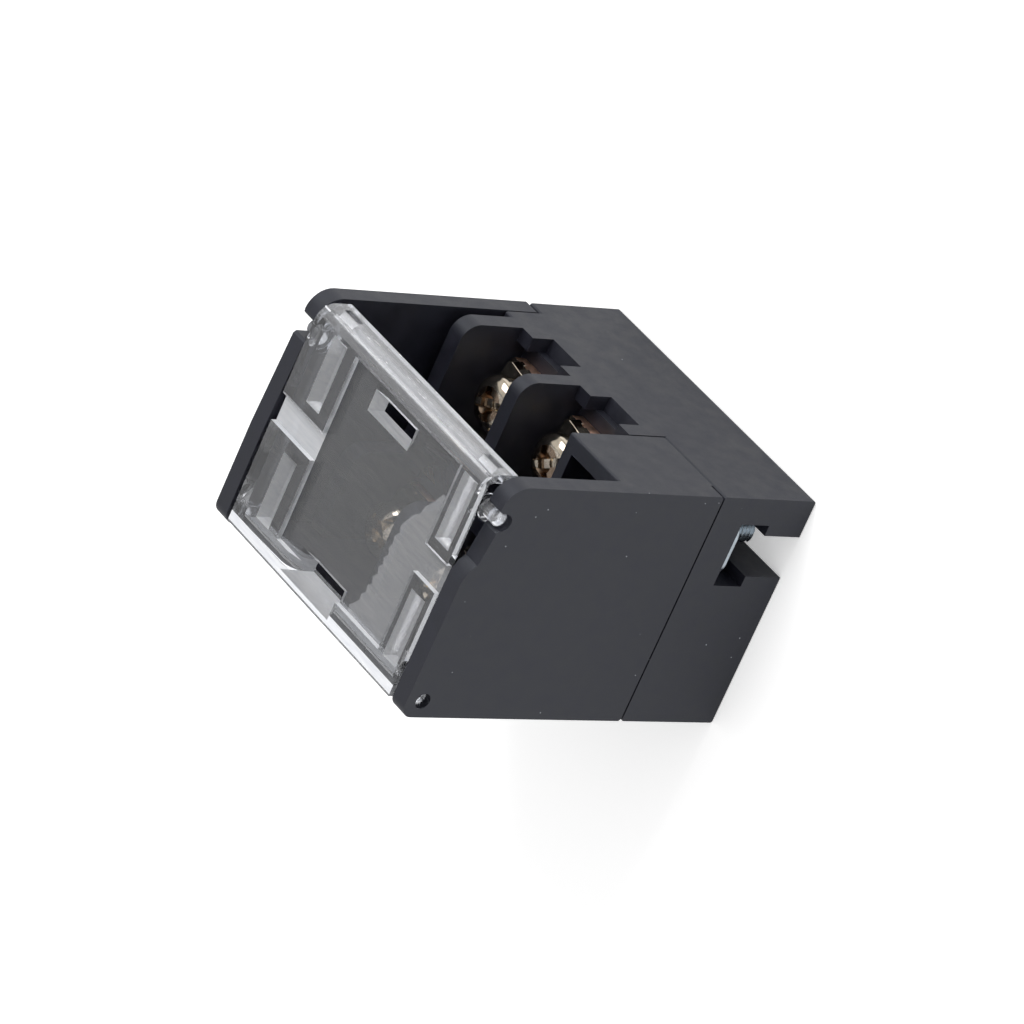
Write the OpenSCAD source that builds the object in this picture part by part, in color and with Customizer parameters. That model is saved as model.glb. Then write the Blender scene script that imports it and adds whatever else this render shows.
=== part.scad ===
// Two-pole barrier terminal block for a T-profile rail, with a clamp section and a clear hinged cover.
// Each pole has a low terminal at the wire side and a high terminal on a raised tier behind it.
// Frame: base on Z = 0, +Z towards the cover, +X towards the clamp section, +Y towards the wire side.
// Lengths along X are often given as a depth d, measured from the outer face of the clamp section.

/* [Overall] */
// Distance between the two poles
pole_pitch = 17; // [15:0.5:21]
// Depth across the rail, from the wire side to the back
block_depth = 42; // [38:0.5:52]
// Height from the rail face to the front of the end plates
block_height = 64.3; // [58:0.1:78]
// Height of the base, up to the seam of the end pieces
base_height = 19.1; // [18.5:0.1:23]
// Length of the clamp section along the rail
clamp_length = 17.4; // [15.5:0.1:21]

/* [Tiers] */
// Distance of the high tier behind the low one
tier_setback = 24.3; // [23:0.1:24.5]
// Height of the high tier above the low one
tier_rise = 10.2; // [8:0.1:12]
// Thickness of the back wall
back_wall = 1.3; // [1:0.1:1.3]

/* [Barriers and walls] */
// Thickness of the barrier between the poles
barrier_thickness = 2.8; // [2:0.1:4]
// Thickness of the barrier at the far end
end_barrier = 3.2; // [2:0.1:4]
// Height of the barriers above the sills
barrier_rise = 11.5; // [9:0.1:16]
// Radius of the barriers' front corners
barrier_corner = 3.2; // [1:0.1:5]
// Height of the sills, that the wires pass over, above the base
sill_rise = 7.4; // [6.5:0.1:10]
// Thickness of the wall under each sill
side_wall = 2.5; // [2:0.1:3.5]
// Width of the wire guide in each sill
guide_width = 8.1; // [6:0.1:9.5]
// Depth of the wire guide below the sill
guide_depth = 4.3; // [2:0.1:5]
// Rounding of the mouldings' long edges
edge_round = 0.4; // [0.2:0.1:1]

/* [End pieces] */
// Thickness of the two end plates
plate_thickness = 3.3; // [2.5:0.1:4]
// Thickness of the clamp housing's inner wall
inner_wall = 2; // [1.5:0.1:3]
// Thickness of the clamp housing's side skins
skin = 2.8; // [2:0.1:3.5]
// Height of the clamp housing's walls above the barriers
skin_rise = 0.6; // [0:0.1:4]
// Thickness of the clamp housing's floor
housing_floor = 2.5; // [2:0.1:3.5]
// Free gap between the far end plate and the end barrier
far_gap = 2.1; // [1.2:0.1:4]
// Seam left between mouldings
seam = 0.3; // [0.1:0.05:0.4]
// Radius of the lower front corner of the end plates
plate_corner = 2.1; // [1:0.1:3]
// Radius of the rounded snap hook
hook_radius = 4; // [3:0.1:4.5]
// Depth of the finger step in the clamp section's end plate
finger_step = 2.7; // [2:0.1:3]
// Distance of the finger step from the wire side
finger_step_inset = 14.2; // [13:0.1:17]

/* [Rail slot] */
// Width of the slot's mouth
rail_mouth = 7.6; // [6:0.1:9.2]
// Width of the slot inside
rail_groove = 11.4; // [10.5:0.1:13.7]
// Thickness of the jaws beside the mouth
jaw_thickness = 7.4; // [6:0.1:8]
// Height of the groove above the jaws
groove_height = 5.8; // [4.8:0.1:6.5]
// Distance of the slot's centre line from the wire side
rail_inset = 10.5; // [9:0.1:13]

/* [Terminals] */
// Distance of the terminal screws from the wire side of their tier
screw_inset = 10.2; // [9.5:0.1:12]
// Thread diameter of all screws
thread_diameter = 5; // [4:0.5:6]
// Pitch of the thread
thread_pitch = 0.8; // [0.7:0.05:1]
// Length of the terminal screws under the head
terminal_screw_length = 11.6; // [10:0.1:14]
// Head diameter of the screws
head_diameter = 9.5; // [8:0.1:10]
// Head height of the screws
head_height = 3.7; // [3.2:0.1:4.5]
// Free space beside the pressure plates
pressure_gap = 1.8; // [1.5:0.1:2.4]
// Length of the pressure plates across the rail
pressure_length = 10.6; // [9:0.1:11]
// Thickness of the pressure plates
pressure_thickness = 2.6; // [2:0.1:3.2]
// How far the tightened plates have turned with their screws, in degrees
pressure_twist = -8; // [-12:1:0]
// Thickness of the conductor bars
bar_thickness = 2.2; // [1.6:0.1:2.4]
// Free space beside the conductor bars
bar_gap = 0.4; // [0.2:0.1:1]
// Free space between a conductor bar and the sills
bar_end_gap = 2.4; // [0.5:0.1:4]
// Depth of the conductor bars below the sills
bar_depth = 0.1; // [0:0.05:0.5]
// Thickness of the spring washers
spring_washer = 1.4; // [1:0.1:1.8]

/* [Rail clamp] */
// Height of the clamp screw's tip above the rail face
clamp_tip = 3.05; // [1:0.05:6]
// Thickness of the nut plate
nut_plate = 1.5; // [1.2:0.1:2]
// Free space around the nut plate
nut_plate_gap = 0.8; // [0.4:0.1:1.2]
// Corner radius of the nut plate
nut_plate_corner = 2.6; // [1:0.1:3.5]
// Height of the nut plate's extruded collar
nut_collar = 2.8; // [2:0.1:3.5]
// Thickness of the washer under the clamp screw's head
clamp_washer = 1.2; // [0.8:0.1:1.6]

/* [Cover] */
// Wall thickness of the clear cover
cover_wall = 2; // [1.6:0.1:2.5]
// Depth of the cover's skirt
cover_skirt = 6; // [5.5:0.1:7.5]
// Outer radius of the cover's edge at the wire side
cover_edge = 3; // [2:0.1:3.5]
// Distance of the cover from the back
cover_inset = 1.1; // [0.5:0.1:2]
// Depth of the recess in the front of the cover
cover_recess = 1; // [0.6:0.1:1.2]
// Rim beside the recess towards the clamp section
recess_near = 6.3; // [5:0.1:9]
// Rim beside the recess towards the far end
recess_far = 11.9; // [11.5:0.1:13]
// Rim of the recess at the back
recess_back = 4.4; // [3.5:0.1:6]
// Rim of the recess at the wire side
recess_front = 2.4; // [2:0.1:4]
// Width of the arms that run out of the recess
arm_width = 5; // [3:0.1:6]
// Width of the four tag pockets
tag_width = 3.8; // [3:0.1:4.5]
// Length of the four tag pockets
tag_length = 12.2; // [8:0.1:13]
// Depth of the four tag pockets
tag_depth = 1.3; // [0.8:0.1:1.5]
// Width of the two bevelled windows
window_width = 9.1; // [6:0.1:10]
// Length of the two bevelled windows
window_length = 2.4; // [2:0.1:3]
// Distance of the front window's middle from the recess's front edge
window_front = 3.1; // [2.5:0.1:5]
// Distance of the back window's middle from the recess's back edge
window_back = 0.9; // [0:0.1:3]
// Distance of the windows' middle from the recess's middle, towards the far end
window_shift = 2; // [0:0.1:3]
// Slope of the windows' bevel towards the far end, per height
window_far_slope = 2.6; // [1:0.1:3]
// Slope of the windows' bevel towards the back, per height
window_back_slope = 1.5; // [0.5:0.1:2]
// Diameter of the cover's pins
pin_diameter = 2.6; // [2:0.1:3]
// Distance of the hinge pins from the back
hinge_inset = 3; // [2.7:0.1:4]
// Distance of the snap pins from the wire side
snap_inset = 6.4; // [6:0.1:7.5]
// Distance of all cover pins behind the front of the end plates
pin_depth = 3.2; // [3:0.1:4]

/* [Fits] */
// Radial clearance of turning parts in their holes
turn_clearance = 0.06; // [0.03:0.01:0.1]
// Gap between bearing faces of parts that move
bearing_gap = 0.05; // [0.02:0.01:0.1]
// Free space between the cover and the end plates
cover_clearance = 0.4; // [0.3:0.05:0.8]
// Radial clearance of the snap pins in their notches
snap_clearance = 0.25; // [0.2:0.05:0.4]
// Radial clearance of locating pegs in their sockets
peg_clearance = 0.05; // [0.02:0.01:0.15]
// Radial clearance of screws and collars in the mouldings
bolt_clearance = 0.3; // [0.2:0.05:0.5]

/* [Hidden] */
$fn = 48;
eps = 0.01;

// sizes that follow from the ones above
half = block_depth / 2;
thread_r = thread_diameter / 2;
head_r = head_diameter / 2;
pocket_width = pole_pitch - barrier_thickness;
pressure_width = pocket_width - 2 * pressure_gap;
bar_width = pocket_width - 2 * bar_gap;
bar_front = half - side_wall - bar_end_gap;
bar_bend = bar_front - tier_setback;
bar_back = back_wall + bar_gap - half;
screw_y = half - screw_inset;
rail_y = half - rail_inset;

// depths along X from the clamp section's outer face
d_clamp = clamp_length / 2;
d_pole_a = clamp_length + pocket_width / 2;
d_pole_b = d_pole_a + pole_pitch;
d_body_end = d_pole_b + pocket_width / 2 + end_barrier;
d_far_plate = d_body_end + far_gap;
block_length = d_far_plate + plate_thickness;

// heights
z_groove = jaw_thickness + groove_height;
z_sill = base_height + sill_rise;
z_barrier = z_sill + barrier_rise;
z_skin = z_barrier + skin_rise;
z_bar_top = z_sill - bar_depth;
z_bar = z_bar_top - bar_thickness;
z_plate = z_bar_top + bearing_gap;
z_washer = z_plate + pressure_thickness + bearing_gap;
z_head = z_washer + spring_washer;
z_housing = base_height + seam;
z_clamp_seat = z_housing + housing_floor;
z_clamp_head = z_clamp_seat + 2 * bearing_gap + clamp_washer;
z_pins = block_height - pin_depth;
z_cover_back = block_height - cover_skirt;
z_cover_in = block_height - cover_wall;
z_recess = block_height - cover_recess;
z_back = z_pins - norm([hinge_inset - cover_inset, pin_depth]) - cover_clearance;

// cover in the YZ plane and along the rail
y_hinge = hinge_inset - half;
y_snap = half - snap_inset;
y_back = cover_inset - half;
y_front = half - cover_clearance;
y_mid = (y_back + y_front) / 2;
d_near = plate_thickness + 2 * cover_clearance;
d_far = d_far_plate - 2 * cover_clearance;
d_recess_near = d_near + recess_near;
d_recess_far = d_far - recess_far;
pin_r = pin_diameter / 2;
snap_r = pin_r + snap_clearance;
boss_r = pin_r + 0.75;
boss_length = 2;
arm_y = y_mid + 1.15;
end_rib = 1.6;
tag_near = 1.1 + tag_width / 2;
tag_far = 5.7 + tag_width / 2;
tag_floor = 0.6;
vent_inset = 4;
vent_length = 4;
vent_height = 1.2;
pin_setback = 1.2;

// locating pegs and screw holes
peg_r = 2;
peg_length = 5;
peg_ys = [7 - half, 19 - half];
far_peg_r = 1.5;
far_peg_length = 4;
far_peg_y = half - 9;
far_peg_z = (base_height + z_sill) / 2;
collar_wall = 1.5;
bar_collar = 1.8;
bar_corner = 0.8;
guide_fall = 0.4;
plate_corner_r = 1;
washer_width = 1.9;
bolt_hole_r = thread_r + bolt_clearance;
collar_r = thread_r + collar_wall;

black = [0.13, 0.13, 0.14];
clear = [0.85, 0.88, 0.9, 0.4];
nickel = [0.78, 0.74, 0.68];
zinc = [0.72, 0.76, 0.82];

// ---- helpers ----

// X position of a depth measured from the clamp section's outer face
function at(d) = block_length / 2 - d;

// points of an arc
function arc(cx, cy, r, a0, a1, n = 8) = [for (i = [0:n]) let(a = a0 + (a1 - a0) * i / n)
    [cx + r * cos(a), cy + r * sin(a)]];

// slab between two depths, its YZ outline given as a 2D child
module slab(d0, d1) {
    translate([at(d1), 0, 0]) rotate([90, 0, 90]) linear_extrude(d1 - d0) children();
}

// box between two depths, two Y positions and two heights
module box(d0, d1, y0, y1, z0, z1) {
    translate([at(d1), y0, z0]) cube([d1 - d0, y1 - y0, z1 - z0]);
}

// upright round hole or pin
module post(d, y, z0, z1, r) {
    translate([at(d), y, z0]) cylinder(h = z1 - z0, r = r);
}

// round pin or hole along X between two depths
module axle(d0, d1, y, z, r) {
    translate([at(d1), y, z]) rotate([0, 90, 0]) cylinder(h = d1 - d0, r = r);
}

// rectangle with rounded corners at its top
module arch2d(y0, y1, z0, z1, r) {
    translate([y0, z0]) square([y1 - y0, z1 - z0 - r]);
    translate([y0 + r, z0]) square([y1 - y0 - 2 * r, z1 - z0]);
    for (y = [y0 + r, y1 - r]) translate([y, z1 - r]) circle(r = r);
}

// rectangle with all corners rounded, centred
module pad2d(w, l, r) {
    square([w - 2 * r, l], center = true);
    square([w, l - 2 * r], center = true);
    for (sx = [-1, 1], sy = [-1, 1]) translate([sx * (w / 2 - r), sy * (l / 2 - r)]) circle(r = r);
}

// moves its children from the low tier (k = 0) to the high tier (k = 1)
module tier(k) {
    translate([0, -k * tier_setback, k * tier_rise]) children();
}

// stepped outline of both tiers with the back wall, its low step at height z
module tiers2d(z0, z, r) {
    arch2d(-half, half, z0, z, r);
    arch2d(-half, half - tier_setback, z0, z + tier_rise, r);
    arch2d(-half, back_wall - half, z0, z_back, edge_round);
}

// ---- mouldings ----

module rail_slot2d() {
    translate([rail_y - rail_mouth / 2, -1]) square([rail_mouth, jaw_thickness + 1 + eps]);
    translate([rail_y - rail_groove / 2, jaw_thickness]) square([rail_groove, groove_height]);
}

// guide through a sill, its floor falling a little to the outside
module wire_guide(d) {
    z = z_sill - guide_depth;
    slab(d - guide_width / 2, d + guide_width / 2)
        polygon([[half + 1, z - guide_fall / side_wall], [half - side_wall - eps, z + guide_fall],
            [half - side_wall - eps, z_sill + 1], [half + 1, z_sill + 1]]);
}

// hollow of one tier of a pole: pocket, sill, wire guide, hole for the screw's end
module tier_pocket(d, y_end) {
    w = pocket_width / 2;
    box(d - w, d + w, y_end, half - side_wall, z_bar, z_barrier + 1);
    box(d - w, d + w, y_end, half + 1, z_sill, z_barrier + 1);
    post(d, screw_y, z_head - terminal_screw_length - 1, z_bar + 1, collar_r + bolt_clearance);
    wire_guide(d);
}

// hollow of one pole: both tiers and the channel for the bar between them
module pole_pocket(d) {
    w = pocket_width / 2;
    bend_back = bar_bend - bar_thickness - bar_gap;
    tier_pocket(d, half - tier_setback);
    tier(1) tier_pocket(d, back_wall - half + tier_setback);
    box(d - w, d + w, bend_back, half - tier_setback + 1, z_bar, z_bar_top + bar_gap);
    box(d - w, d + w, bend_back, bar_bend + bar_gap, z_bar, z_bar + tier_rise + 1);
}

module block_body() {
    color(black) difference() {
        union() {
            slab(0, block_length - edge_round) difference() {
                translate([0, base_height / 2]) pad2d(block_depth, base_height, edge_round);
                rail_slot2d();
            }
            slab(clamp_length, d_body_end) tiers2d(base_height - edge_round, z_barrier, barrier_corner);
            slab(d_body_end - eps, d_far_plate - seam)
                tiers2d(base_height - edge_round, z_sill, edge_round);
        }
        pole_pocket(d_pole_a);
        pole_pocket(d_pole_b);
        // clamp screw and the collar of its nut plate
        post(d_clamp, rail_y, z_groove - 1, base_height + 1, bolt_hole_r);
        post(d_clamp, rail_y, z_groove - 1, z_groove + nut_collar + bolt_clearance,
            collar_r + bolt_clearance);
        // sockets for the pegs of the end pieces
        for (y = peg_ys)
            post(d_clamp, y, base_height - peg_length - 0.5, base_height + 1, peg_r + peg_clearance);
        for (s = [-1, 1]) axle(d_far_plate - seam - far_peg_length, d_far_plate + 1,
            s * far_peg_y, far_peg_z, far_peg_r + peg_clearance);
    }
}

// outline of an end plate: rounded lower corner, front edge, open snap notch and hook
module plate2d(front, tip) {
    polygon(concat(
        [[half, z_housing + edge_round], [half - edge_round, z_housing], [edge_round - half, z_housing],
            [-half, z_housing + edge_round]],
        arc(plate_corner - half, block_height - plate_corner, plate_corner, 180, 90),
        [for (p = front) [half - p[0], block_height - p[1]]],
        [[y_snap - snap_r - 0.45, block_height - front[len(front) - 1][1]],
            [y_snap - snap_r, block_height - front[len(front) - 1][1] - 0.45]],
        arc(y_snap, z_pins, snap_r, 180, 360, 12),
        [[y_snap + snap_r, block_height - tip - 0.6],
            [y_snap + snap_r + 0.35, block_height - tip - 0.1]],
        arc(half - hook_radius, block_height - tip - hook_radius, hook_radius, 90, 0)));
}

module clamp_housing() {
    step = finger_step_inset;
    color(black) difference() {
        union() {
            slab(0, plate_thickness) plate2d([[step + 3.2, 0.2], [step + 1, 0.9],
                [step, finger_step - 0.8], [step - 5.2, finger_step]], finger_step - 1);
            slab(plate_thickness - eps, clamp_length - seam) difference() {
                union() {
                    arch2d(-half, half, z_housing, z_skin, edge_round);
                    arch2d(-half, skin - half, z_housing, z_back, edge_round);
                }
                translate([skin - half, z_clamp_seat]) square([block_depth - 2 * skin, block_height]);
            }
            slab(clamp_length - seam - inner_wall, clamp_length - seam)
                tiers2d(z_housing, z_skin, edge_round);
            for (y = peg_ys) post(d_clamp, y, base_height - peg_length, z_housing + 1, peg_r);
        }
        post(d_clamp, rail_y, base_height, z_clamp_seat + 1, bolt_hole_r);
        axle(-1, plate_thickness + 1, y_hinge, z_pins, pin_r + turn_clearance);
    }
}

module far_end_plate() {
    color(black) difference() {
        union() {
            slab(d_far_plate, block_length) plate2d([[half + 4, 0], [snap_inset + 2.4, 0.7]], 1);
            for (s = [-1, 1])
                axle(d_far_plate - far_peg_length, d_far_plate + 1, s * far_peg_y, far_peg_z, far_peg_r);
        }
        axle(d_far_plate - 1, block_length + 1, y_hinge, z_pins, pin_r + turn_clearance);
    }
}

// ---- cover ----

// cross-section of the cover: front panel with a skirt on each wire side
module cover2d() {
    difference() {
        union() {
            translate([y_back, z_cover_back]) square([y_front - y_back - cover_edge, cover_skirt]);
            translate([y_back, z_cover_back]) square([y_front - y_back, cover_skirt - cover_edge]);
            translate([y_front - cover_edge, block_height - cover_edge]) circle(r = cover_edge);
        }
        arch2d(y_back + cover_wall, y_front - cover_wall, z_cover_back - 1, z_cover_in,
            cover_edge - cover_wall);
    }
}

// tag pocket in a corner zone of the cover: a trough with sloped sides and ends
module tag_pocket(d, y) {
    translate([at(d), y, 0]) hull() {
        translate([0, 0, block_height - tag_depth + eps])
            cube([tag_floor, tag_length - 2, 2 * eps], center = true);
        translate([0, 0, block_height + 1]) cube([tag_width, tag_length, 2 * eps], center = true);
        translate([0, 0, block_height]) cube([tag_width, tag_length, 2 * eps], center = true);
    }
}

// window through the panel, bevelled towards the far end and the lower wire side
module bevelled_window(d, y) {
    far_bevel = window_far_slope * cover_wall;
    back_bevel = window_back_slope * cover_wall;
    w = window_width;
    l = window_length;
    box(d - w / 2, d + w / 2, y - l / 2, y + l / 2, z_cover_back, block_height + 1);
    translate([at(d) - w / 2, y - l / 2, 0]) hull() {
        translate([0, 0, z_cover_in]) cube([w, l, eps]);
        translate([-far_bevel, -back_bevel, block_height]) cube([w + far_bevel, l + back_bevel, eps]);
    }
}

module cover() {
    y_recess_back = y_back + recess_back;
    y_recess_front = y_front - recess_front;
    d_window = (d_recess_near + d_recess_far) / 2 + window_shift;
    color(clear) {
        difference() {
            union() {
                slab(d_near, d_far) cover2d();
                // end ribs
                for (d = [d_near, d_far - end_rib]) slab(d, d + end_rib)
                    translate([y_back + 0.5, z_cover_back + 1])
                        square([y_front - y_back - 1, cover_skirt - 1 - cover_wall / 2]);
                // pin bosses
                for (y = [y_hinge, y_snap], d = [d_near - cover_clearance, d_far - boss_length])
                    axle(d, d + boss_length + cover_clearance, y, z_pins, boss_r);
            }
            // cross-shaped recess
            box(d_recess_near, d_recess_far, y_recess_back, y_recess_front, z_recess, block_height + 1);
            box(d_near - 1, d_far + 1, arm_y - arm_width / 2, arm_y + arm_width / 2,
                z_recess, block_height + 1);
            bevelled_window(d_window, y_recess_front - window_front);
            bevelled_window(d_window, y_recess_back + window_back);
            for (d = [d_near + tag_near, d_far - tag_far],
                y = [y_recess_back + tag_length / 2, y_recess_front - tag_length / 2]) tag_pocket(d, y);
            // vent slots in the front skirt
            for (d = [d_near + vent_inset, d_far - vent_inset])
                box(d - vent_length / 2, d + vent_length / 2, y_front - cover_wall - 1, y_front + 1,
                    z_cover_back + 1.5, z_cover_back + 1.5 + vent_height);
        }
        for (y = [y_hinge, y_snap]) {
            axle(pin_setback, d_near + 1, y, z_pins, pin_r);
            axle(d_far - 1, block_length - pin_setback, y, z_pins, pin_r);
        }
    }
}

// ---- terminals ----

// stepped conductor bar with an extruded, tapped collar under each terminal
module conductor_bar(d) {
    outer = bar_thickness;
    bend = bar_bend - bar_thickness;
    color(nickel) difference() {
        union() {
            slab(d - bar_width / 2, d + bar_width / 2) polygon(concat(
                [[bar_front, z_bar], [bar_front, z_bar_top], [bar_bend, z_bar_top]],
                arc(bar_bend - outer, z_bar_top + tier_rise - outer, outer, 0, 90),
                [[bar_back, z_bar_top + tier_rise], [bar_back, z_bar + tier_rise],
                    [bend, z_bar + tier_rise]],
                arc(bend + outer, z_bar + outer, outer, 180, 270)));
            for (k = [0, 1]) tier(k) post(d, screw_y, z_bar - bar_collar, z_bar + 1, collar_r - 0.4);
        }
        for (k = [0, 1]) tier(k)
            post(d, screw_y, z_bar - bar_collar - 1, z_bar_top + 1, thread_r + turn_clearance);
        // corners of the bar's ends
        for (sx = [-1, 1]) translate([at(d) + sx * bar_width / 2, bar_front, 0])
            rotate([0, 0, 45]) cube([bar_corner, bar_corner, 2 * block_height], center = true);
    }
}

module conductor_bar_a() conductor_bar(d_pole_a);
module conductor_bar_b() conductor_bar(d_pole_b);

// square plate with shallow gripping grooves below
module pressure_plate(d, k) {
    color(nickel) tier(k) translate([at(d), screw_y, z_plate]) rotate(pressure_twist) difference() {
        linear_extrude(pressure_thickness) pad2d(pressure_width, pressure_length, plate_corner_r);
        translate([0, 0, -1]) cylinder(h = pressure_thickness + 2, r = thread_r + turn_clearance);
        for (x = [-0.3, 0.3] * pressure_width)
            translate([x - 0.4, -pressure_length, -1]) cube([0.8, 2 * pressure_length, 1.5]);
    }
}

module pressure_plate_a_low() pressure_plate(d_pole_a, 0);
module pressure_plate_a_high() pressure_plate(d_pole_a, 1);
module pressure_plate_b_low() pressure_plate(d_pole_b, 0);
module pressure_plate_b_high() pressure_plate(d_pole_b, 1);

// split spring washer, pressed flat
module split_washer(d, k) {
    color(nickel) tier(k) translate([at(d), screw_y, z_washer]) difference() {
        cylinder(h = spring_washer, r = thread_r + washer_width);
        translate([0, 0, -1]) cylinder(h = spring_washer + 2, r = thread_r + turn_clearance);
        rotate([0, 20, 35]) translate([0, -0.4, -3]) cube([thread_r + 4, 0.8, 8]);
    }
}

module spring_washer_a_low() split_washer(d_pole_a, 0);
module spring_washer_a_high() split_washer(d_pole_a, 1);
module spring_washer_b_low() split_washer(d_pole_b, 0);
module spring_washer_b_high() split_washer(d_pole_b, 1);

// half-outline of a domed pan head above z = 0
function head_profile() = let(rim = 0.42 * head_height) concat(
    [[0, 0], [head_r - 0.3, 0], [head_r, 0.3], [head_r, rim]],
    arc(head_r - 1.1, rim, 1.1, 0, 62, 6),
    [[0.55 * head_r, 0.93 * head_height], [0.28 * head_r, 0.985 * head_height], [0, head_height]]);

// half-outline of a thread from the head down to its tip
function thread_profile(length) = let(n = floor((length - 2) / thread_pitch),
    depth = 0.55 * thread_pitch, start = length - 1 - n * thread_pitch) concat(
    [[0, 0], [thread_r, 0], [thread_r, -start]],
    [for (i = [0:n - 1], k = [0, 1]) let(z = -start - i * thread_pitch)
        k == 0 ? [thread_r - depth, z - thread_pitch / 2] : [thread_r, z - thread_pitch]],
    [[thread_r - 0.8, -length], [0, -length]]);

// screw with a recess for a cross or a flat driver, head seat at z
module screw(d, y, z, length, turn, threaded) {
    color(threaded ? zinc : nickel) translate([at(d), y, z]) rotate([0, 0, turn]) difference() {
        union() {
            rotate_extrude() polygon(head_profile());
            if (threaded) rotate_extrude($fn = 36) polygon(thread_profile(length));
            else {
                translate([0, 0, -length + 0.8]) cylinder(h = length, r = thread_r);
                translate([0, 0, -length]) cylinder(h = 0.8 + eps, r1 = thread_r - 0.8, r2 = thread_r);
            }
        }
        // slot, cross and its conical middle
        translate([-head_r - 1, -0.6, head_height - 1.5]) cube([head_diameter + 2, 1.2, 3]);
        for (a = [0, 90]) rotate([0, 0, a])
            translate([-0.3 * head_diameter, -0.75, head_height - 2.3])
                cube([0.6 * head_diameter, 1.5, 4]);
        translate([0, 0, head_height - 2.7]) cylinder(h = 4, r1 = 0.9, r2 = 0.25 * head_diameter);
    }
}

// terminal screw of a tier
module terminal_screw(d, k, turn) {
    tier(k) screw(d, screw_y, z_head, terminal_screw_length, turn, false);
}

module terminal_screw_a_low() terminal_screw(d_pole_a, 0, 35);
module terminal_screw_a_high() terminal_screw(d_pole_a, 1, 12);
module terminal_screw_b_low() terminal_screw(d_pole_b, 0, 20);
module terminal_screw_b_high() terminal_screw(d_pole_b, 1, 60);

// ---- rail clamp ----

module clamp_screw() screw(d_clamp, rail_y, z_clamp_head, z_clamp_head - clamp_tip, 0, true);

module clamp_washer_ring() {
    color(zinc) translate([at(d_clamp), rail_y, z_clamp_seat + bearing_gap]) difference() {
        cylinder(h = clamp_washer, r = head_r + 0.25);
        translate([0, 0, -1]) cylinder(h = clamp_washer + 2, r = thread_r + turn_clearance);
    }
}

// nut plate with an extruded collar that sits in the base
module clamp_nut_plate() {
    color(zinc) difference() {
        union() {
            translate([at(d_clamp), rail_y, z_groove - nut_plate - bearing_gap])
                linear_extrude(nut_plate) pad2d(clamp_length - 2 * nut_plate_gap,
                    rail_groove - 2 * nut_plate_gap, nut_plate_corner);
            post(d_clamp, rail_y, z_groove - nut_plate, z_groove + nut_collar, collar_r);
        }
        post(d_clamp, rail_y, z_groove - nut_plate - 1, z_groove + nut_collar + 1,
            thread_r + turn_clearance);
    }
}

block_body();
clamp_housing();
far_end_plate();
cover();
conductor_bar_a();
conductor_bar_b();
pressure_plate_a_low();
pressure_plate_a_high();
pressure_plate_b_low();
pressure_plate_b_high();
spring_washer_a_low();
spring_washer_a_high();
spring_washer_b_low();
spring_washer_b_high();
terminal_screw_a_low();
terminal_screw_a_high();
terminal_screw_b_low();
terminal_screw_b_high();
clamp_screw();
clamp_washer_ring();
clamp_nut_plate();
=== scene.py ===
import bpy
import math
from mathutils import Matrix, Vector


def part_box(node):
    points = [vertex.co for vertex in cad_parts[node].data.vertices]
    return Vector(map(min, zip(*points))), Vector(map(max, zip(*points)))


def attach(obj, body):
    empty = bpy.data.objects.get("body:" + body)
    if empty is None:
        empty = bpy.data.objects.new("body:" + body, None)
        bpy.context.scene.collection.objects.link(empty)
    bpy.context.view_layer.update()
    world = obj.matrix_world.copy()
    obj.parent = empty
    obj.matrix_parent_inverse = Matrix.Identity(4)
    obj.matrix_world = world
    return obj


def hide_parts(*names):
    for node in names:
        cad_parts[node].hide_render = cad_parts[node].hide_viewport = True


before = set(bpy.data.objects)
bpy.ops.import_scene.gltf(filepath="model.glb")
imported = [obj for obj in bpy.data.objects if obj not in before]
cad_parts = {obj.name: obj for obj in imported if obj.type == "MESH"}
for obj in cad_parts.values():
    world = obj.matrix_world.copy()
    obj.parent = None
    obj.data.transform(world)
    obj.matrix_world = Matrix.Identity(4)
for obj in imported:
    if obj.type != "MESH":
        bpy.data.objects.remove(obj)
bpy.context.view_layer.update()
scene = bpy.context.scene
scene.view_settings.view_transform = "Standard"

# ---- Viewpoint ----
# A long lens looks down on the clamp end and the wire side, with the block's
# front turned to the left.
bpy.ops.object.camera_add(location=(0.69246, 0.42656, 0.72619),
                          rotation=[math.radians(a) for a in (2.938, 49.461, 35.556)])
camera = bpy.context.object
camera.data.lens = 239.1
camera.data.sensor_width = 36
camera.data.clip_end = 20
scene.camera = camera

# ---- Floor and studio light ----
# A white floor under a white surround, with two large soft lamps. The floor shows
# white to the eye, the metal and the clear plastic, and still takes the shadow.
def new_finish(name):
    """A new material, with its nodes and its shader."""
    finish = bpy.data.materials.new(name)
    finish.use_nodes = True
    return finish, finish.node_tree, finish.node_tree.nodes["Principled BSDF"]


def finish_step(tree, kind, sockets, **settings):
    """Adds a node to a finish, each socket set to a value or fed by another node."""
    step = tree.nodes.new("ShaderNode" + kind)
    for setting, value in settings.items():
        setattr(step, setting, value)
    for socket, value in sockets.items():
        if isinstance(value, bpy.types.NodeSocket):
            tree.links.new(value, step.inputs[socket])
        else:
            step.inputs[socket].default_value = value
    return step


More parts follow.
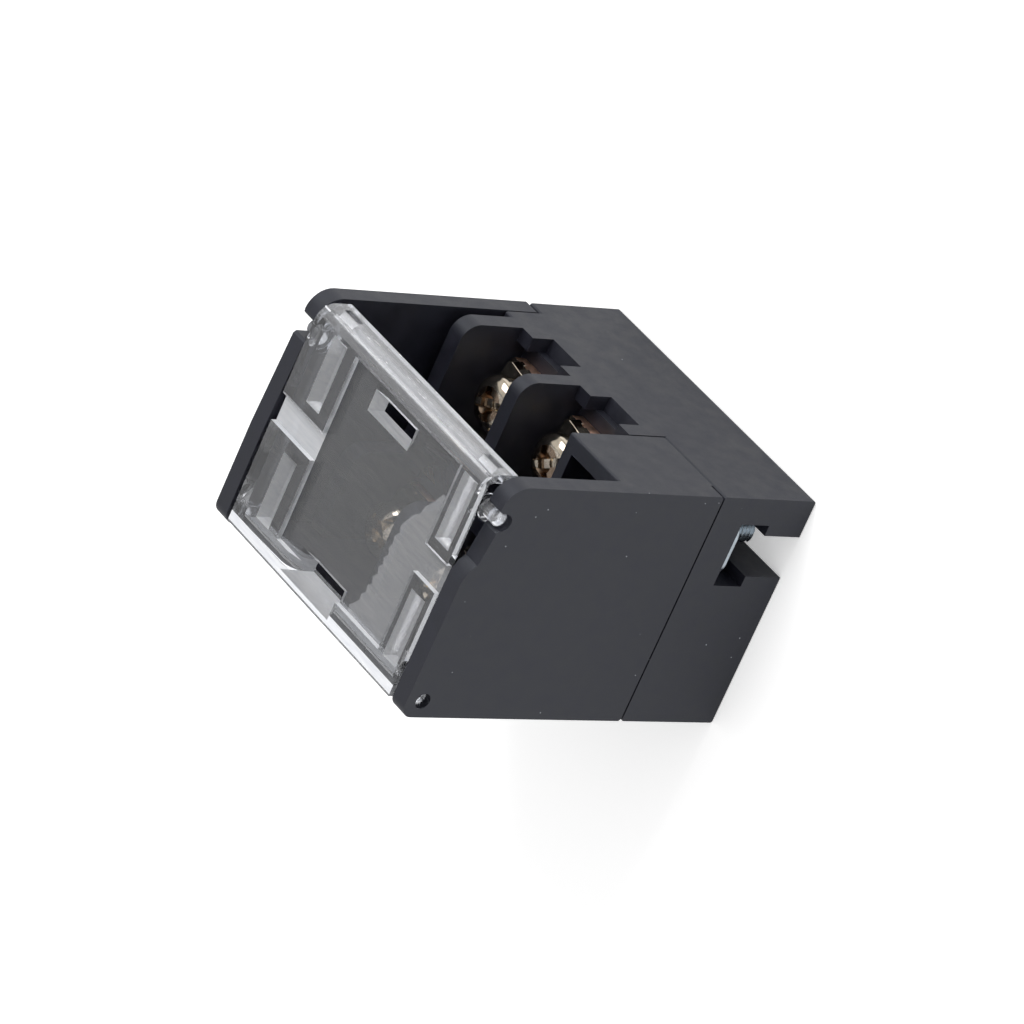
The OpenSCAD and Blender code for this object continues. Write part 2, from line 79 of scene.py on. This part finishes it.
floor_glow = 0.35
glow_in_metal = 0.3
bpy.ops.mesh.primitive_plane_add(size=6, location=(0, 0, -0.0002))
floor = bpy.context.object
floor.name = "studio_floor"
floor_white, tree, shader = new_finish("studio_floor_white")
shader.inputs["Base Color"].default_value = (0.9, 0.9, 0.9, 1)
shader.inputs["Roughness"].default_value = 0.9
shader.inputs["Specular IOR Level"].default_value = 0.1
shader.inputs["Emission Color"].default_value = (1, 1, 1, 1)
rays = finish_step(tree, "LightPath", {}).outputs
mirrored = finish_step(tree, "Math", {0: rays["Is Glossy Ray"], 1: glow_in_metal},
                       operation="MULTIPLY")
seen = finish_step(tree, "Math", {0: rays["Is Camera Ray"], 1: mirrored.outputs[0]},
                   operation="MAXIMUM")
seen_through = finish_step(tree, "Math", {0: seen.outputs[0], 1: rays["Is Transmission Ray"]},
                           operation="MAXIMUM")
lift = finish_step(tree, "Math", {0: seen_through.outputs[0], 1: floor_glow},
                   operation="MULTIPLY")
tree.links.new(lift.outputs[0], shader.inputs["Emission Strength"])
floor.data.materials.append(floor_white)

surround = bpy.data.worlds.new("studio_surround")
surround.use_nodes = True
surround.node_tree.nodes["Background"].inputs["Color"].default_value = (1, 1, 1, 1)
surround.node_tree.nodes["Background"].inputs["Strength"].default_value = 0.75
scene.world = surround

for name, place, size, power in (("key_lamp", (-0.25, 0.9, 0.75), 0.7, 9),
                                 ("side_lamp", (0.9, -0.3, 0.6), 0.6, 1.2)):
    bpy.ops.object.light_add(type="AREA", location=place)
    lamp = bpy.context.object
    lamp.name = name
    lamp.data.size = size
    lamp.data.energy = power
    lamp.rotation_euler = (-lamp.location).to_track_quat("-Z", "Y").to_euler()

# ---- Black mouldings ----
# Base block, clamp housing and far end plate: glass-filled black plastic, injection
# moulded with a fine eroded texture and slightly softened edges, pegged together.
def merged_copy(node, name):
    """The solid's surface in one skin, as a new object ready to be finished."""
    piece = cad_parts[node].copy()
    piece.data = piece.data.copy()
    piece.name = name
    scene.collection.objects.link(piece)
    bpy.ops.object.select_all(action="DESELECT")
    piece.select_set(True)
    bpy.context.view_layer.objects.active = piece
    bpy.ops.object.mode_set(mode="EDIT")
    bpy.ops.mesh.select_all(action="SELECT")
    bpy.ops.mesh.customdata_custom_splitnormals_clear()
    bpy.ops.mesh.remove_doubles(threshold=0.000002)
    bpy.ops.mesh.dissolve_limited(angle_limit=math.radians(0.2))
    bpy.ops.object.mode_set(mode="OBJECT")
    piece.data.materials.clear()
    return piece


def soften_edges(piece, width, segments, from_angle, flat=True):
    """Rounds the sharp edges, and keeps the flat faces flat or the turned ones round."""
    bevel = piece.modifiers.new("edge", "BEVEL")
    bevel.width = width
    bevel.segments = segments
    bevel.limit_method = "ANGLE"
    bevel.angle_limit = math.radians(from_angle)
    bevel.harden_normals = flat
    bpy.ops.object.shade_smooth()
    bpy.ops.object.modifier_apply(modifier="edge")
    if not flat:
        bpy.ops.object.shade_smooth_by_angle(angle=math.radians(from_angle))


def two_tone(tree, pattern, dark_below, dark, light_above, light):
    """A colour that goes from dark to light with the pattern."""
    ramp = finish_step(tree, "ValToRGB", {"Fac": pattern})
    ends = ramp.color_ramp.elements
    ends[0].position, ends[0].color = dark_below, dark
    ends[1].position, ends[1].color = light_above, light
    return ramp.outputs["Color"]


def varied_gloss(tree, pattern, least_rough, most_rough):
    """A roughness that goes from its least to its most with the pattern."""
    spread = finish_step(tree, "MapRange", {
        "Value": pattern, "From Min": 0.3, "From Max": 0.7,
        "To Min": least_rough, "To Max": most_rough})
    return spread.outputs["Result"]


black, tree, shader = new_finish("black_moulded_plastic")
shader.inputs["IOR"].default_value = 1.5
shader.inputs["Specular Tint"].default_value = (0.9, 0.95, 1, 1)
place = finish_step(tree, "TexCoord", {}).outputs["Object"]
# cloudy change of tone and gloss, a few millimetres across
cloud = finish_step(tree, "TexNoise", {
    "Vector": place, "Scale": 320, "Detail": 6, "Roughness": 0.65}).outputs["Fac"]
tone = two_tone(tree, cloud, 0.35, (0.006, 0.006, 0.011, 1), 0.7, (0.012, 0.012, 0.02, 1))
# sparse specks of pale dust: the middles of one cell in ten
dust = finish_step(tree, "TexVoronoi", {"Vector": place, "Scale": 420}).outputs
lot = finish_step(tree, "SeparateColor", {"Color": dust["Color"]})
few = finish_step(tree, "Math", {0: lot.outputs["Red"], 1: 0.9}, operation="GREATER_THAN")
small = finish_step(tree, "Math", {0: dust["Distance"], 1: 0.05}, operation="LESS_THAN")
speck = finish_step(tree, "Math", {0: few.outputs[0], 1: small.outputs[0]},
                    operation="MULTIPLY")
dusty = finish_step(tree, "Mix", {
    "Factor": speck.outputs[0], "A": tone, "B": (0.3, 0.31, 0.34, 1)}, data_type="RGBA")
tree.links.new(dusty.outputs["Result"], shader.inputs["Base Color"])
tree.links.new(varied_gloss(tree, cloud, 0.42, 0.58), shader.inputs["Roughness"])
# the eroded grain of the mould, over faint waves in the surface
grain = finish_step(tree, "TexNoise", {
    "Vector": place, "Scale": 5200, "Detail": 4, "Roughness": 0.7})
pitted = finish_step(tree, "Bump", {
    "Height": grain.outputs["Fac"], "Strength": 0.55, "Distance": 0.00003})
waves = finish_step(tree, "Bump", {
    "Height": cloud, "Strength": 0.12, "Distance": 0.0001, "Normal": pitted.outputs["Normal"]})
tree.links.new(waves.outputs["Normal"], shader.inputs["Normal"])

for node in ("block_body", "clamp_housing", "far_end_plate"):
    moulding = merged_copy(node, node + "_moulding")
    soften_edges(moulding, 0.00016, 2, 35)
    moulding.data.materials.append(black)
    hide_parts(node)
    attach(moulding, "block")

# ---- Clear cover ----
# Hinged cover, moulded in clear polycarbonate and polished, with frosted tag pockets,
# windows and recess steps. It turns on two pins and snaps on two more.
cover = merged_copy("cover", "cover_clear_moulding")
cover_low, cover_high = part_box("cover")
back, wire_side, panel_top = cover_low[1], cover_high[1], cover_high[2]
recess_floor = panel_top - 0.001
pocket_floor = panel_top - 0.0019
same_height = 0.00002
recess_far = -0.0126  # the arms of the recess start here
outer_edge = back + 0.0005
seal_edge = back + 0.00215  # a ground band runs along the back up to here
front_rounding = wire_side - 0.0031
skirt_face = wire_side - 0.0015
end_wall = 0.0246  # the end walls stand outside this, both ways
# ragged edge of the film left by handling on the recess's floor, as (y, x)
handled_edge = (
    (-0.0156, 0.0078), (-0.0144, 0.0074), (-0.0135, 0.0083), (-0.0124, 0.0091),
    (-0.0115, 0.0088), (-0.0106, 0.0098), (-0.0096, 0.0093), (-0.0087, 0.0102),
    (-0.0077, 0.0096), (-0.0067, 0.0105), (-0.0058, 0.0099), (-0.0048, 0.0107),
    (-0.0039, 0.0101), (-0.0029, 0.0109), (-0.0019, 0.0103), (-0.0009, 0.0108),
    (0.0002, 0.0104), (0.0013, 0.0112), (0.0024, 0.0107), (0.0036, 0.0114),
    (0.005, 0.0121), (0.0063, 0.0136), (0.0078, 0.0139), (0.0095, 0.0152),
    (0.0118, 0.0165))
handled_stretches = list(zip(handled_edge, handled_edge[1:]))


def split_floor(from_y, to_y, point, across):
    """Cuts the recess's floor between two lines, so that its finish can change there."""
    bpy.ops.object.mode_set(mode="EDIT")
    bpy.ops.mesh.select_all(action="DESELECT")
    bpy.ops.object.mode_set(mode="OBJECT")
    for face in cover.data.polygons:
        face.select = (face.normal.z > 0.9 and abs(face.center.z - recess_floor) < same_height
                       and from_y < face.center.y < to_y)
    bpy.ops.object.mode_set(mode="EDIT")
    bpy.ops.mesh.bisect(plane_co=point, plane_no=across)
    bpy.ops.object.mode_set(mode="OBJECT")


bpy.ops.object.mode_set(mode="EDIT")
bpy.ops.mesh.select_mode(type="FACE")
for line in (outer_edge, seal_edge):
    bpy.ops.mesh.select_all(action="SELECT")
    bpy.ops.mesh.bisect(plane_co=(0, line, 0), plane_no=(0, 1, 0))
bpy.ops.object.mode_set(mode="OBJECT")
split_floor(back, wire_side, (recess_far, 0, 0), (1, 0, 0))
for y, x in handled_edge:
    split_floor(back, wire_side, (0, y, 0), (0, 1, 0))
for (y, x), (next_y, next_x) in handled_stretches:
    split_floor(y, next_y, (x, y, 0), (1, (x - next_x) / (next_y - y), 0))
soften_edges(cover, 0.0001, 2, 35)

# transmission, least and most roughness, and shade of each finish
cover_finishes = {
    "polished": (1, 0, 0.03, 1),
    "handled": (0.95, 0, 0.03, 1),
    "misted": (0.87, 0.12, 0.3, 1),
    "frosted": (0.75, 0.3, 0.5, 1),
    "ground": (0.15, 0.4, 0.6, 1),
    # painted shade: the cover's outer back face, its base colour darkened to a fifth
    "painted_shade_back": (0.5, 0.3, 0.5, 0.2),
    "greasy": (0.79, 0.02, 0.08, 0.95),
    "dulled": (0.5, 0.1, 0.2, 1),
    "cut": (0.35, 0.3, 0.5, 1)}


def clear_plastic_finish(name, transmission, least_rough, most_rough, shade):
    """Clear plastic, its surface more or less misted, with faint drawn-out streaks."""
    finish, tree, shader = new_finish(name)
    shader.inputs["IOR"].default_value = 1.49
    shader.inputs["Transmission Weight"].default_value = transmission
    place = finish_step(tree, "TexCoord", {}).outputs["Object"]
    along = finish_step(tree, "Mapping", {"Vector": place, "Scale": (0.12, 1, 1)})
    streaks = finish_step(tree, "TexNoise", {
        "Vector": along.outputs["Vector"], "Scale": 1600, "Detail": 5,
        "Roughness": 0.6}).outputs["Fac"]
    tone = two_tone(tree, streaks, 0.3, (0.8 * shade, 0.82 * shade, 0.87 * shade, 1),
                    0.68, (0.97 * shade, 0.98 * shade, shade, 1))
    tree.links.new(tone, shader.inputs["Base Color"])
    haze = varied_gloss(tree, streaks, least_rough, most_rough)
    tree.links.new(haze, shader.inputs["Roughness"])
    drawn = finish_step(tree, "Bump", {
        "Height": streaks, "Strength": 3 * least_rough, "Distance": 0.00002})
    tree.links.new(drawn.outputs["Normal"], shader.inputs["Normal"])
    return finish


def under_film(place):
    """Whether a spot of the recess's floor is on the clamp side of the film's edge."""
    return any(y <= place.y < next_y
               and place.x > x + (next_x - x) * (place.y - y) / (next_y - y)
               for (y, x), (next_y, next_x) in handled_stretches)


def cover_finish_at(place, facing):
    """The finish of a face of the cover, by where it is and which way it faces."""
    if facing.z > 0.93 and place.z > recess_floor - 0.0002:
        if place.y < outer_edge:
            return "misted"
        if place.y < seal_edge:
            return "ground"
        if abs(place.z - recess_floor) > same_height:
            return "handled"
        if place.x < recess_far:
            return "dulled"
        return "greasy" if under_film(place) else "handled"
    if abs(place.x) > end_wall:
        return "misted"
    if place.z > pocket_floor and facing.z > -0.5 and place.y < front_rounding:
        return "cut" if facing.y > 0.8 and place.z > recess_floor else "frosted"
    if place.y > skirt_face or (place.y > front_rounding and facing.z > 0):
        return "misted"
    # the outer back face takes painted shade
    if facing.y < -0.9 and place.y < outer_edge:
        return "painted_shade_back"
    return "polished"


for name, look in cover_finishes.items():
    cover.data.materials.append(clear_plastic_finish(name + "_clear_plastic", *look))
finish_order = list(cover_finishes)
for face in cover.data.polygons:
    face.material_index = finish_order.index(cover_finish_at(face.center, face.normal))
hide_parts("cover")
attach(cover, "cover")

# ---- Conductor bars, pressure plates and spring washers ----
# Stepped bars sheared from brass strip and plated, square steel plates and split
# washers, plated the same. The sheared ends of the bars show the bare metal.
def plated_metal(name, colour, least_rough, most_rough):
    """Plating with fine rolling scratches and a cloudy change of gloss."""
    metal, tree, shader = new_finish(name)
    shader.inputs["Metallic"].default_value = 1
    place = finish_step(tree, "TexCoord", {}).outputs["Object"]
    tarnish = finish_step(tree, "TexNoise", {
        "Vector": place, "Scale": 900, "Detail": 5}).outputs["Fac"]
    tint = two_tone(tree, tarnish, 0.3, [c * 0.72 for c in colour] + [1],
                    0.7, list(colour) + [1])
    tree.links.new(tint, shader.inputs["Base Color"])
    shine = varied_gloss(tree, tarnish, least_rough, most_rough)
    tree.links.new(shine, shader.inputs["Roughness"])
    scratches = finish_step(tree, "TexNoise", {"Vector": place, "Scale": 6000, "Detail": 2})
    scratched = finish_step(tree, "Bump", {
        "Height": scratches.outputs["Fac"], "Strength": 0.05, "Distance": 0.00001})
    tree.links.new(scratched.outputs["Normal"], shader.inputs["Normal"])
    return metal


nickel = plated_metal("nickel_plating", (0.64, 0.56, 0.45), 0.08, 0.18)
bare_brass = plated_metal("sheared_brass", (0.78, 0.5, 0.38), 0.3, 0.5)
for pole in ("a", "b"):
    bar = merged_copy("conductor_bar_" + pole, "conductor_bar_%s_plated" % pole)
    soften_edges(bar, 0.00012, 2, 35)
    bar.data.materials.append(nickel)
    bar.data.materials.append(bare_brass)
    for face in bar.data.polygons:
        if abs(face.normal.y) > 0.9:
            face.material_index = 1
    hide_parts("conductor_bar_" + pole)
    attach(bar, "block")
    for tier in ("low", "high"):
        terminal = "%s_%s" % (pole, tier)
        plate = merged_copy("pressure_plate_" + terminal, "pressure_plate_%s_plated" % terminal)
        soften_edges(plate, 0.00015, 3, 35)
        plate.data.materials.append(nickel)
        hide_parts("pressure_plate_" + terminal)
        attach(plate, "plate_" + terminal)
        washer = merged_copy("spring_washer_" + terminal, "spring_washer_%s_plated" % terminal)
        soften_edges(washer, 0.0001, 2, 35, flat=False)
        washer.data.materials.append(nickel)
        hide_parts("spring_washer_" + terminal)
        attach(washer, "screw_" + terminal)

# ---- Terminal screws and clamp screw ----
# Steel screws with rolled threads and pan heads stamped for a cross or a flat driver,
# nickel plated at the terminals and zinc plated at the rail clamp.
thread_pitch = 0.0008
crest_radius = 0.0025
thread_depth = 0.00044
tip_taper = 0.7
head_height = 0.0037
rim_height = 0.42 * head_height
seat_chamfer = 0.0003
top_in_recess = 0.000137  # the top of the dome that the recess takes away
clean_cut = 0.000001


def threaded_shank(x, y, top, bottom):
    """A rolled thread with a chamfered end, from the head down to its tip."""
    bpy.ops.object.select_all(action="DESELECT")
    bpy.ops.mesh.primitive_plane_add(size=0.001, location=(x, y, bottom - 2 * thread_pitch))
    shank = bpy.context.object
    bpy.ops.object.mode_set(mode="EDIT")
    bpy.ops.mesh.select_mode(type="VERT")
    bpy.ops.mesh.select_all(action="SELECT")
    bpy.ops.mesh.merge(type="CENTER")
    bpy.ops.transform.translate(value=(crest_radius, 0, 0))
    # crest, flank, root, flank: each a radial step and a share of the pitch
    for outwards, share in ((0, 0.14), (-thread_depth, 0.36), (0, 0.14), (thread_depth, 0.36)):
        bpy.ops.mesh.extrude_region_move(
            TRANSFORM_OT_translate={"value": (outwards, 0, share * thread_pitch)})
    bpy.ops.object.mode_set(mode="OBJECT")
    spiral = shank.modifiers.new("thread", "SCREW")
    spiral.axis = "Z"
    spiral.screw_offset = thread_pitch
    spiral.iterations = math.ceil((top - bottom) / thread_pitch) + 4
    spiral.steps = 32
    spiral.render_steps = 32
    spiral.use_merge_vertices = True
    spiral.merge_threshold = clean_cut
    bpy.ops.object.modifier_apply(modifier="thread")
    bpy.ops.object.mode_set(mode="EDIT")
    bpy.ops.mesh.select_all(action="SELECT")
    bpy.ops.mesh.remove_doubles(threshold=clean_cut)
    for end, outwards in ((top, 1), (bottom, -1)):
        bpy.ops.mesh.select_all(action="SELECT")
        bpy.ops.mesh.bisect(plane_co=(x, y, end), plane_no=(0, 0, outwards), clear_outer=True,
                            use_fill=True, threshold=clean_cut)
    bpy.ops.mesh.select_all(action="SELECT")
    bpy.ops.mesh.normals_make_consistent(inside=False)
    bpy.ops.mesh.select_all(action="DESELECT")
    bpy.ops.object.mode_set(mode="OBJECT")
    for vertex in shank.data.vertices:
        vertex.select = (shank.matrix_world @ vertex.co).z < bottom + 0.00001
    bpy.ops.object.mode_set(mode="EDIT")
    bpy.ops.transform.resize(value=(tip_taper, tip_taper, 1), center_override=(x, y, bottom))
    bpy.ops.object.mode_set(mode="OBJECT")
    bpy.ops.object.transform_apply(location=True, rotation=True, scale=True)
    bpy.ops.object.shade_smooth_by_angle(angle=math.radians(25))
    return shank


def domed_head(x, y, seat, radius):
    """A turned pan head: a flattened dome on a short rim, chamfered at its seat."""
    rim = seat + rim_height
    bpy.ops.object.select_all(action="DESELECT")
    bpy.ops.mesh.primitive_uv_sphere_add(segments=72, ring_count=48, radius=radius,
                                         location=(x, y, rim))
    head = bpy.context.object
    bpy.ops.object.transform_apply(location=True, rotation=True, scale=True)
    bpy.ops.object.mode_set(mode="EDIT")
    bpy.ops.transform.resize(value=(1, 1, (head_height - rim_height) / radius),
                             center_override=(x, y, rim))
    bpy.ops.mesh.bisect(plane_co=(x, y, rim + 0.00001), plane_no=(0, 0, -1), clear_outer=True,
                        threshold=clean_cut)
    bpy.ops.mesh.extrude_region_move(
        TRANSFORM_OT_translate={"value": (0, 0, seat_chamfer - rim_height)})
    bpy.ops.mesh.extrude_region_move(TRANSFORM_OT_translate={"value": (0, 0, -seat_chamfer)})
    narrowed = 1 - seat_chamfer / radius
    bpy.ops.transform.resize(value=(narrowed, narrowed, 1), center_override=(x, y, seat))
    bpy.ops.mesh.edge_face_add()
    bpy.ops.mesh.select_all(action="SELECT")
    bpy.ops.mesh.normals_make_consistent(inside=False)
    bpy.ops.object.mode_set(mode="OBJECT")
    return head


def driver_punches(x, y, top, radius, turn):
    """The shapes that stamp the recess: a long slot, a deeper cross and a blunt point."""
    punches = []
    for length, width, depth, angle in ((3 * radius, 0.0012, 0.0015, 0),
                                        (1.2 * radius, 0.0015, 0.0023, 0),
                                        (1.2 * radius, 0.0015, 0.0023, 90)):
        bpy.ops.mesh.primitive_cube_add(size=1, location=(x, y, top - depth + 0.003),
                                        rotation=(0, 0, math.radians(turn + angle)))
        punches.append(bpy.context.object)
        punches[-1].scale = (length, width, 0.006)
    bpy.ops.mesh.primitive_cone_add(vertices=48, radius1=0.0009, radius2=radius / 2, depth=0.004,
                                    location=(x, y, top - 0.0007))
    punches.append(bpy.context.object)
    return punches


def finished_screw(node, body, turn, metal, crown_metal):
    """A pan head, its recess stamped in with softened edges, on a threaded shank."""
    low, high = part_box(node)
    x, y, radius = (low[0] + high[0]) / 2, (low[1] + high[1]) / 2, (high[0] - low[0]) / 2
    seat = high[2] + top_in_recess - head_height
    shank = threaded_shank(x, y, seat + 0.0002, low[2])
    head = domed_head(x, y, seat, radius)
    head.name = node + "_threaded"
    punches = driver_punches(x, y, seat + head_height, radius, turn)
    bpy.ops.object.select_all(action="DESELECT")
    head.select_set(True)
    bpy.context.view_layer.objects.active = head
    for punch in punches:
        recess = head.modifiers.new("recess", "BOOLEAN")
        recess.object = punch
        recess.operation = "DIFFERENCE"
        bpy.ops.object.modifier_apply(modifier="recess")
        bpy.data.objects.remove(punch)
    bpy.ops.object.mode_set(mode="EDIT")
    bpy.ops.mesh.select_all(action="SELECT")
    bpy.ops.mesh.remove_doubles(threshold=0.000002)
    bpy.ops.object.mode_set(mode="OBJECT")
    soften_edges(head, 0.00009, 3, 30, flat=False)
    head.data.materials.append(metal)
    head.data.materials.append(crown_metal)
    # the recess and the top of the dome take the crown metal, which on the two low screws is a
    # darker plating painted in as shade
    for face in head.data.polygons:
        across = math.hypot(face.center.x - x, face.center.y - y)
        if across < 0.6 * radius and face.center.z > seat + rim_height:
            face.material_index = 1
    shank.data.materials.append(metal)
    shank.select_set(True)
    bpy.ops.object.join()
    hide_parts(node)
    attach(head, body)


# painted shade: the crowns of the two low screws get a dark brown plating that stands in for the
# shade and dark reflections on them; the two high screws keep plain nickel
nickel_with_painted_shade = plated_metal("nickel_with_painted_shade", (0.34, 0.25, 0.18), 0.12, 0.3)
for terminal, turn, crown_metal in (("a_low", 35, nickel_with_painted_shade), ("a_high", 12, nickel),
                                    ("b_low", 20, nickel_with_painted_shade), ("b_high", 60, nickel)):
    finished_screw("terminal_screw_" + terminal, "screw_" + terminal, turn, nickel, crown_metal)
zinc = plated_metal("zinc_plating", (0.55, 0.62, 0.68), 0.2, 0.38)
finished_screw("clamp_screw", "clamp_screw", 0, zinc, zinc)

# ---- Rail clamp ----
# Stamped steel nut plate with a tapped collar and a plain washer under the screw's
# head, both zinc plated. The nut plate draws the rail's flange against the base.
for node, body in (("clamp_nut_plate", "block"), ("clamp_washer_ring", "clamp_washer")):
    stamped = merged_copy(node, node + "_zinc")
    soften_edges(stamped, 0.00015, 3, 35, flat=False)
    stamped.data.materials.append(zinc)
    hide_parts(node)
    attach(stamped, body)
